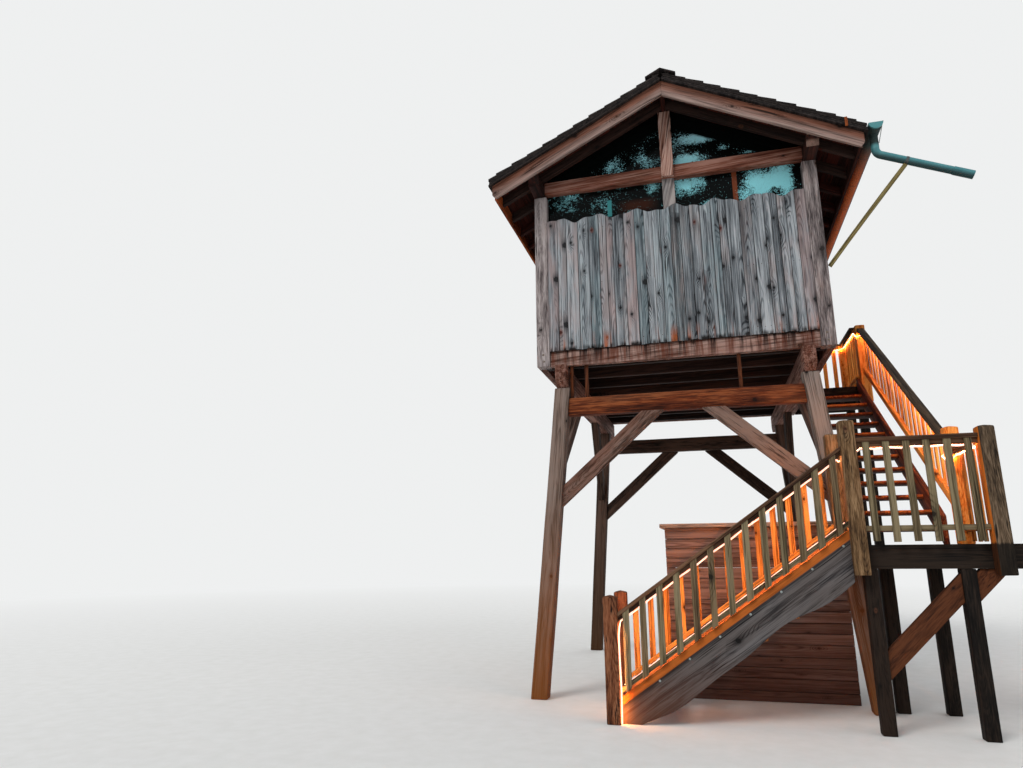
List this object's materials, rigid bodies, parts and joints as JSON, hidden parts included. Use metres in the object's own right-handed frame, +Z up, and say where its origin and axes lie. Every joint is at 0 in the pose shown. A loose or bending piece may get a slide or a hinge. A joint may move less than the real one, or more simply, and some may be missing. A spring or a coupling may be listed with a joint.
{
  "type": "tree house",
  "caption": "Boarded timber cabin on splayed legs with a shingled gable roof, open stairs with a landing and gallery, railings, a gutter and a store underneath.",
  "frame": {"origin": "on the ground, in the middle of the outline seen from above", "axes": "+Z up; +X to the right along the boarded front; +Y from the front towards the back"},
  "size_m": [5.0388, 5.6224, 6.8293],
  "materials": {
    "leg_timber": "weathered grey-brown timber",
    "beam_timber": "reddish-brown stained timber, weathered grey",
    "floor_timber": "dark stained timber",
    "post_timber": "weathered pinkish-grey timber",
    "grey_boards": "weathered blue-grey sawn boards",
    "side_boards": "weathered grey-brown boards",
    "door_wood": "brown stained boards",
    "window_glass": "clear glazing",
    "rafter_wood": "red-brown stained timber",
    "barge_wood": "pinkish-grey weathered timber",
    "shingle_wood": "dark weathered shingles",
    "gutter_paint": "teal painted metal",
    "pole_wood": "bare pole",
    "stringer_wood": "blue-grey weathered timber",
    "upper_stair_wood": "red-brown stained timber",
    "rail_wood": "olive-brown weathered timber",
    "upper_rail_wood": "brown timber",
    "deck_timber": "dark weathered timber",
    "store_boards": "red-brown stained boards",
    "store_top": "weathered board lid",
    "rope_glow": "lit warm white rope light in clear plastic"
  },
  "bodies": {
    "root": {"legs": "leg_timber", "lower_ties": "beam_timber", "knee_braces": "beam_timber", "sill_beams": "beam_timber", "floor_joists": "floor_timber", "rim_beams": "beam_timber", "floor_deck": "floor_timber", "corner_posts": "post_timber", "front_boards": "grey_boards", "back_boards": "grey_boards", "gable_rails": "post_timber", "gable_studs": "post_timber", "upper_ties": "beam_timber", "king_posts": "beam_timber", "gable_glass": "window_glass", "left_wall": "side_boards", "right_wall": "side_boards", "wall_over_door": "side_boards", "door": "door_wood", "roof_beams": "beam_timber", "rafters": "rafter_wood", "bargeboards_left": "barge_wood", "bargeboards_right": "barge_wood", "roof_boards": "rafter_wood", "shingles": "shingle_wood", "ridge_cap": "shingle_wood", "fascias": "rafter_wood", "gutter": "gutter_paint", "pipe_elbow": "gutter_paint", "rain_pipe": "gutter_paint", "pipe_prop": "pole_wood", "hanger_laths": "leg_timber", "lower_stringers": "stringer_wood", "lower_treads": "upper_stair_wood", "newel_posts": "rail_wood", "lower_railings": "rail_wood", "landing_deck": "deck_timber", "landing_frame": "deck_timber", "landing_posts": "deck_timber", "landing_braces": "deck_timber", "landing_railings": "rail_wood", "upper_stringers": "upper_stair_wood", "upper_treads": "upper_stair_wood", "upper_railing": "upper_rail_wood", "gallery_deck": "deck_timber", "gallery_frame": "deck_timber", "gallery_posts": "deck_timber", "gallery_railings": "upper_rail_wood", "store_walls": "store_boards", "store_lid": "store_top", "rope_light": "rope_glow"}
  },
  "joints": []
}
